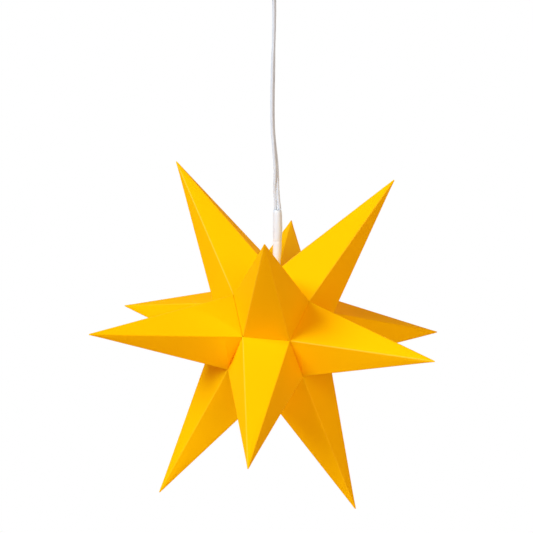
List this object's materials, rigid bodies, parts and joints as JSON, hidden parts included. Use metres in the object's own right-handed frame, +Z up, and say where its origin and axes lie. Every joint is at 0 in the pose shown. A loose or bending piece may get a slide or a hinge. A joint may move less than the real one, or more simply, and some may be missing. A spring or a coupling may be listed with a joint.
{
  "type": "hanging LED Christmas star",
  "caption": "Hollow pointed star folded from yellow sheet, lit by a small inner lamp and hung by a thin white lead from a pocket battery holder with a loop.",
  "frame": {"origin": "where a hook bears on the underside of the hanging loop's bend, at the top of the object", "axes": "+Z up, -Y out of the star's front, +X to the right as seen from the front"},
  "size_m": [0.2114, 0.213, 0.4168],
  "materials": {
    "yellow_sheet": "matt, dyed through, 0.5 mm sheet folded along scored lines",
    "white_lead": "satin soft PVC insulation",
    "white_sleeve": "satin heat-shrink sleeve",
    "white_moulding": "fine satin moulded surface",
    "milky_moulding": "milky, smooth",
    "grey_rubber": "matt soft PVC",
    "board_green": "solder-resist lacquer",
    "black_moulding": "fine satin moulded surface",
    "led_yellow": "clear resin over phosphor",
    "nickel_plate": "bright nickel plate on steel",
    "cell_jacket": "plain satin film jacket",
    "steel": "zinc-plated wire, satin"
  },
  "bodies": {
    "holder": {"hanging_loop": "steel", "holder_body": "white_moulding", "battery_1": "cell_jacket", "battery_2": "cell_jacket", "battery_3": "cell_jacket", "contact_spring_1": "nickel_plate", "contact_spring_2": "nickel_plate", "contact_spring_3": "nickel_plate", "contact_top_single": "nickel_plate", "contact_top_bridge": "nickel_plate", "contact_bottom_bridge": "nickel_plate", "contact_bottom_single": "nickel_plate", "circuit_board": "board_green", "timer_chip": "black_moulding", "switch_housing": "black_moulding", "board_screw_1": "steel", "board_screw_2": "steel", "lead_gland": "grey_rubber", "board_lead_1": "white_lead", "board_lead_2": "white_lead"},
    "cover": {"battery_cover": "white_moulding"},
    "switch": {"switch_slider": "black_moulding"},
    "lead": {"lead_cord": "white_lead", "lead_sleeve": "white_sleeve", "lead_core_1": "white_lead", "lead_core_2": "white_lead", "lamp_stem": "white_moulding", "star_washer": "white_moulding", "lamp_housing": "white_moulding", "led_board": "board_green", "led_1": "led_yellow", "led_2": "led_yellow", "led_3": "led_yellow", "lamp_diffuser": "milky_moulding"},
    "star": {"spike_top_left": "yellow_sheet", "spike_top_right": "yellow_sheet", "spike_bottom_left": "yellow_sheet", "spike_bottom_right": "yellow_sheet", "spike_front_upper": "yellow_sheet", "spike_front_lower": "yellow_sheet", "spike_back_upper": "yellow_sheet", "spike_back_lower": "yellow_sheet", "spike_left_front": "yellow_sheet", "spike_left_back": "yellow_sheet", "spike_right_front": "yellow_sheet", "spike_right_back": "yellow_sheet"}
  },
  "joints": [
    {"name": "cover_open", "type": "hinge", "parent": "holder", "child": "cover", "pos_m": [0, -0.0088, -0.0145], "axis": [-1, 0, 0], "range_deg": [0, 100]},
    {"name": "switch_slide", "type": "slide", "parent": "holder", "child": "switch", "axis": [1, 0, 0], "range_m": [0, 0.004]},
    {"name": "lead_swing", "type": "hinge", "parent": "holder", "child": "lead", "pos_m": [0, 0, -0.084], "axis": [0, 1, 0], "range_deg": [-25, 25]},
    {"name": "star_turn", "type": "hinge", "parent": "lead", "child": "star", "pos_m": [0.0024, 0, -0.2614], "axis": [0, 0, 1], "continuous": true}
  ]
}
